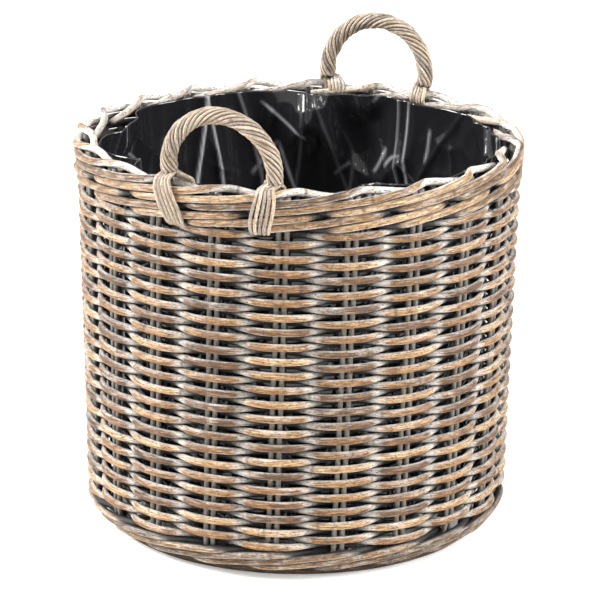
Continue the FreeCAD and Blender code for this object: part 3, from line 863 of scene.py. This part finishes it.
# side 1 for the front handle, -1 for the back one, which is turned half round
def makeHandle(place, side):
    rng = np.random.default_rng(23 + side)
    strands, half = grip["strands"], grip["strands"] // 2
    ring = grip["strandRadius"] / math.sin(math.pi / strands)
    middle = np.array([gripPoint(share, 0, 0, side) for share in np.linspace(0, 1, grip["rodPoints"])])
    flip = np.array([side, side, 1.0])

    # strands get painted shade in the grooves of the rope, but not where they leave it
    def paintedShadeInRope(verts):
        away = np.linalg.norm(verts[:, None] * flip - middle[None], axis=2).min(axis=1) / mm
        outside = ring + grip["strandRadius"]
        inRope = np.clip((outside + grip["leaves"] - away) / grip["leavesOver"], 0, 1)
        return np.clip((outside - grip["proud"] - away) / grip["groove"], 0, 1) * inRope

    outerCanes, innerCanes, core = Canes(), Canes(), Canes()
    for index in range(strands):
        start = 2 * math.pi * (index + 0.5) / strands
        looseness = 1 + grip["loose"] * rng.normal()
        rope = [gripPoint(share, ring * looseness, start - 2 * math.pi * grip["turns"] * share, side)
                for share in np.linspace(0.0, 1.0, grip["ropePoints"])]
        lane = index - half // 2 if index < half else half + half // 2 - index
        left = strandTail(-1, index < half, lane, side)
        right = strandTail(1, index >= half, lane, side)
        path = smoothPath(left[::-1] + rope + right, grip["strandStep"] * mm)
        nearest = middle[np.argmin(np.linalg.norm(path[:, None] - middle[None], axis=2), axis=1)]
        outward = unit(path - nearest)
        radius = grip["strandRadius"] * grip["slack"] * mm * (1 + grip["uneven"] * rng.normal())
        canes = outerCanes if index < half else innerCanes
        canes.add(rng, path * flip, radius, outward * flip, grip["rubbed"], sides=grip["strandSides"],
                  deep=paintedShadeInRope, knot=grip["jointSwell"])

    near, deepest = grip["rodDepths"]
    path = smoothPath([tailPoint(-1, 0, deepest, 0), tailPoint(-1, 0, near, 0)] + list(middle[::4])
                      + [tailPoint(1, 0, near, 0), tailPoint(1, 0, deepest, 0)], grip["rodStep"] * mm)
    toFoot = np.abs(np.linspace(-1, 1, len(path)))
    full = np.clip((grip["rodFootFrom"] - toFoot) / (1 - grip["rodFootFrom"]), 0, 1)
    radius = (grip["rodFootRadius"] + (grip["rodRadius"] - grip["rodFootRadius"]) * full) * mm
    core.add(rng, path * flip, radius, np.array([0, -1.0, 0]) * flip, grip["rodRubbed"],
             sides=grip["strandSides"])
    core.build(f"{place}GripRod", poleRattan, [f"{place}_handle_rod"], "thick_rattan")
    outerCanes.build(f"{place}GripStrandsA", splitRattan, [f"{place}_handle_outer_strands"], "strand_rattan")
    innerCanes.build(f"{place}GripStrandsB", splitRattan, [f"{place}_handle_inner_strands"], "strand_rattan")


linerLook = {
    "inset": 13.4 * mm,          # stakes' circle to the film
    "topDrop": 8.0 * mm,         # the cut edge lies under the roll of the rim
    "floorGap": 0.6 * mm,
    "corner": 26 * mm,
    "thickness": 0.4 * mm,
    "flat": (1.38, 0.62),        # the bag slit up one side and opened out
    "flatArea": 0.76,
    # sharp folds: how many, height, width, half lengths, and spread of their slant
    "longFolds": (56, 9 * mm, 6 * mm, (0.07, 0.25), 0.35),
    "shortFolds": (170, 2.4 * mm, 2 * mm, (0.012, 0.045), 0.9),
    "floorFolds": (40, 4 * mm, 5 * mm, (0.04, 0.14), 1.5),
    # crushed film: how many bowls, their height to width, and depth
    "bigBowls": (110, 0.6, 12 * mm),
    "smallBowls": (600, 0.8, 4.5 * mm),
    "floorBowls": (60, 1.0, 5 * mm),
    "lineWidth": 1.6 * mm,       # the pale line along a sharp fold, partly a painted highlight
    "shortLines": 0.5,           # how grey it is on short folds
    "longReach": (-0.40, 0.0),   # heights from the cut edge that have long folds, and everything else
    "shortReach": (-0.42, 0.02),
    "floorSpan": 0.5,            # of the square that the floor's folds are laid out on
    "floorReach": (-0.22, 0.22),
    "aroundSteps": 620,
    "wallSteps": 180,
    "cornerSteps": 10,
    "floorSteps": 34,
}


# sharp straight folds scattered over the unrolled film, each a push inwards, and the pale lines along them,
# partly painted highlight
def straightFolds(rng, film, reach, count, tall, sharp, lengths, slant):
    around, height, girth = film
    field, lines = np.zeros_like(around), np.zeros_like(around)
    for _ in range(count):
        x0, z0 = rng.random() * girth, reach[0] + rng.random() * (reach[1] - reach[0])
        tilt = rng.normal(0, slant)
        length = lengths[0] + rng.random() * (lengths[1] - lengths[0])
        dx = (around - x0 + girth / 2) % girth - girth / 2
        dz = height - z0
        run = dx * math.sin(tilt) + dz * math.cos(tilt)
        bow = rng.normal(0, 0.12) * (run / length) ** 2 * length       # it isn't quite straight
        across = dx * math.cos(tilt) - dz * math.sin(tilt) - bow
        fade = np.clip(1 - np.abs(run) / length, 0, 1) ** 0.8           # it dies out at both ends
        width = sharp * (0.6 + 0.8 * rng.random()) * (0.35 + 0.65 * fade)
        push = tall * (0.35 + 0.65 * rng.random()) * fade * np.exp(-np.abs(across) / width)
        field = np.maximum(field, push) + 0.25 * np.minimum(field, push)    # folds cross without piling up
        paleness = rng.random() ** 3 * np.clip(2.5 * fade, 0, 1)        # few lines are strong
        lines = np.maximum(lines, paleness * np.exp(-(across / linerLook["lineWidth"]) ** 2))
    return field, lines


# crushed film: shallow bowls that meet in crisp ridges, where film was folded small and opened out
def crushed(rng, film, reach, bowls, squash, tall):
    around, height, girth = film
    nearest = np.full(around.shape, 9.0)
    for _ in range(bowls):
        x0, z0 = rng.random() * girth, reach[0] + rng.random() * (reach[1] - reach[0])
        grow = 0.8 + 0.4 * rng.random()
        dx = (around - x0 + girth / 2) % girth - girth / 2
        nearest = np.minimum(nearest, np.hypot(dx, (height - z0) * squash) * grow)
    typical = math.sqrt(girth * (reach[1] - reach[0]) * squash / bowls) / 2
    return tall * np.minimum(nearest / typical, 2.0) ** 2 / 2


# the film's profile from the middle of its floor, round the corner and up the wall
def linerProfile(floorZ, top):
    inset, corner, steps = linerLook["inset"], linerLook["corner"], linerLook["floorSteps"]
    floorRadius = float(stakeCircle(floorZ + corner)) - inset - corner
    profile = [(floorRadius * (k + 1) / steps, floorZ) for k in range(steps)]
    for k in range(1, linerLook["cornerSteps"] + 1):
        bend = k / linerLook["cornerSteps"] * math.pi / 2
        profile.append((floorRadius + corner * math.sin(bend), floorZ + corner - corner * math.cos(bend)))
    for k in range(1, linerLook["wallSteps"] + 1):
        z = floorZ + corner + (top - floorZ - corner) * k / linerLook["wallSteps"]
        profile.append((float(stakeCircle(z)) - inset, z))
    return np.array(profile).T


def makeLiner():
    rng = np.random.default_rng(41)
    steps, corner = linerLook["aroundSteps"], linerLook["corner"]
    top = rimTop - linerLook["topDrop"]
    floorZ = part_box("liner")[0].z + linerLook["floorGap"]
    angle = np.arange(steps) * 2 * math.pi / steps
    radii, heights = linerProfile(floorZ, top)
    along = np.concatenate([[0], np.cumsum(np.hypot(np.diff(radii), np.diff(heights)))])
    girth = 2 * math.pi * (float(stakeCircle(top)) - linerLook["inset"])
    spread, run = np.meshgrid(angle / (2 * math.pi) * girth, along - along[-1])
    film = (spread, run, girth)
    folds, lines = straightFolds(rng, film, linerLook["longReach"], *linerLook["longFolds"])
    shortFolds, shortLines = straightFolds(rng, film, linerLook["shortReach"], *linerLook["shortFolds"])
    folds += shortFolds
    lines = np.maximum(lines, linerLook["shortLines"] * shortLines)
    # some patches of the film were crushed more than others: patches 350 mm and 150 mm across
    broad = np.clip(0.55 + 1.3 * np.sin(spread * 9 + 0.8) * np.sin(run * 14 + spread * 4), 0, 1)
    small = np.clip(1.8 * np.sin(spread * 17 + 2) * np.sin(run * 23 + spread * 9 + 1) - 0.2, 0, 1)
    folds += crushed(rng, film, linerLook["shortReach"], *linerLook["bigBowls"]) * broad
    folds += crushed(rng, film, linerLook["shortReach"], *linerLook["smallBowls"]) * small

    # the floor of the bag is creased as it lies, and the wall's folds die out on it
    span = linerLook["floorSpan"]
    floor = (radii[:, None] * np.sin(angle)[None, :] + span / 2, radii[:, None] * np.cos(angle)[None, :], span)
    floorFolds, floorLines = straightFolds(rng, floor, linerLook["floorReach"], *linerLook["floorFolds"])
    floorFolds += crushed(rng, floor, linerLook["floorReach"], *linerLook["floorBowls"])
    wallRadius = float(stakeCircle(floorZ + corner)) - linerLook["inset"]
    onFloor = np.clip((wallRadius - radii) / corner, 0, 1)[:, None] * (heights[:, None] < floorZ + corner)
    folds = folds * (1 - onFloor) + floorFolds * onFloor
    lines = lines * (1 - onFloor) + floorLines * onFloor

    # each point moves inwards from the profile by its fold
    slopeR, slopeZ = np.gradient(radii, along)[:, None], np.gradient(heights, along)[:, None]
    verts = onRing(radii[:, None] - slopeZ * folds, angle[None, :], heights[:, None] + slopeR * folds)
    index = np.arange(verts.shape[0] * steps).reshape(-1, steps)
    centre = index.size
    verts = np.vstack([verts.reshape(-1, 3), [[0, 0, floorZ]]])
    quads = np.stack([index[:-1], index[1:], np.roll(index[1:], -1, 1), np.roll(index[:-1], -1, 1)], axis=-1)
    faces = quads.reshape(-1, 4).tolist()
    faces += [[centre, int(index[0][k]), int(index[0][(k + 1) % steps])] for k in range(steps)]
    mesh = bpy.data.meshes.new("linerFilm")
    mesh.from_pydata(verts.tolist(), [], faces)
    mesh.polygons.foreach_set("use_smooth", [True] * len(mesh.polygons))
    # the pale fold lines, partly painted highlight, go to the film's colour
    crease = mesh.attributes.new("filmCreaseAndGlint", "FLOAT", "POINT")
    crease.data.foreach_set("value", np.append(lines.ravel(), 0).astype(np.float32))
    mesh.update()
    mesh.flip_normals()
    piece = finishPiece("linerFilm", mesh, blackPolythene, ["liner"])
    solid = piece.modifiers.new("film", "SOLIDIFY")
    solid.thickness = linerLook["thickness"]
    solid.offset = -1


makeFootHoop()
makeWeave()
makeStakes()
print("wall woven")
makeFootBorder()
makeRimBorder()
print("borders laid")
makeBase()
print("base bound and woven")
makeHandle("front", 1)
makeHandle("back", -1)
print("handles twisted")
makeLiner()
print("liner hung")
